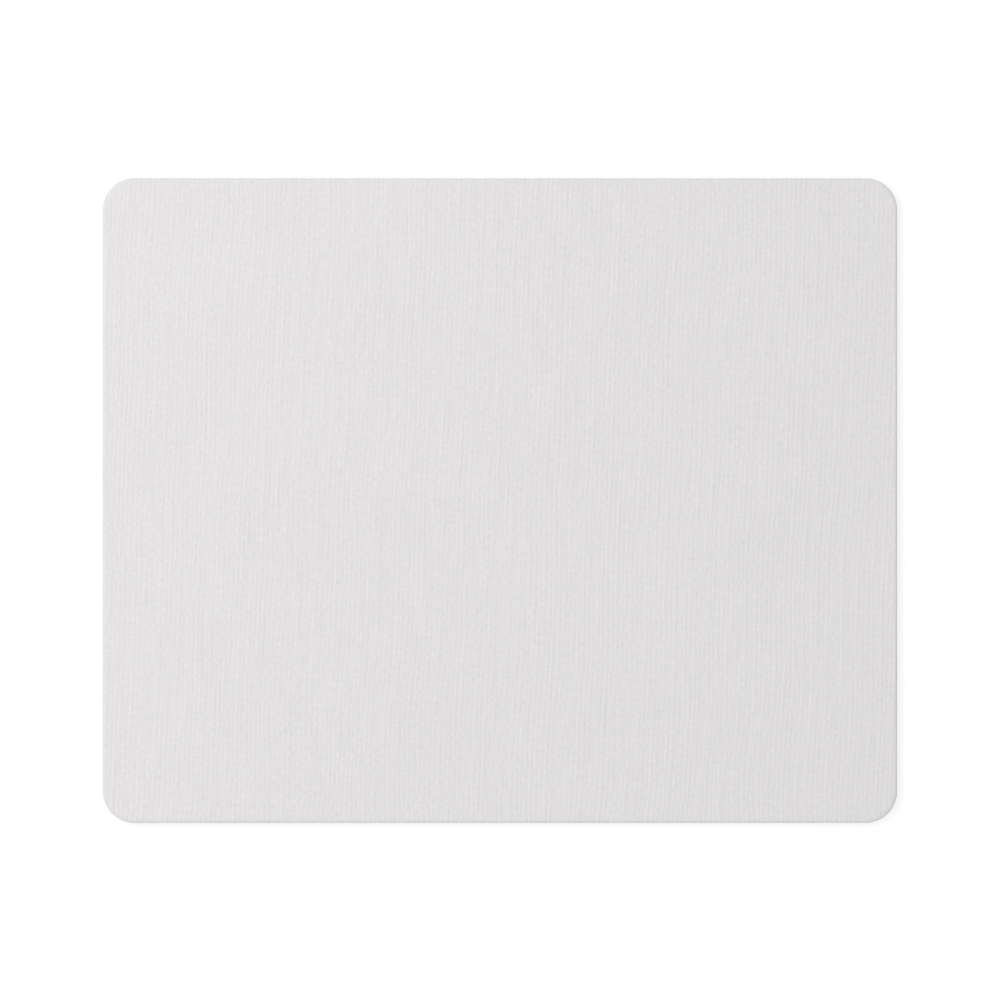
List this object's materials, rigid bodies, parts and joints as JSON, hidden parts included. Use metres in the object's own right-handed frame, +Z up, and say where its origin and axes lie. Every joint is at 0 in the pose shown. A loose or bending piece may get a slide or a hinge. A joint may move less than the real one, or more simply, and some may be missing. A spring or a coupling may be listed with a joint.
{
  "type": "mouse pad",
  "caption": "Flat rectangular mouse pad with rounded corners: pale knitted cloth top bonded to a thin foam rubber base with a wavy embossed grip underneath.",
  "frame": {"origin": "on the desk below the middle of the pad, the centre of the bottom of its box", "axes": "+X along the long side, to the right as the user sits; +Y along the short side, away from the user; +Z up through the thickness"},
  "size_m": [0.22, 0.1784, 0.003],
  "materials": {
    "knit_polyester": "matt white knit with fine wales along the short side, about 2 degrees askew to the cut",
    "hot_melt_film": "cloudy satin film",
    "foam_rubber": "matt black foam with fine open cells on its cut wall and a closed, finely pebbled and embossed skin underneath"
  },
  "bodies": {
    "root": {"knit_cover": "knit_polyester", "bonding_film": "hot_melt_film", "foam_base": "foam_rubber"}
  },
  "joints": []
}
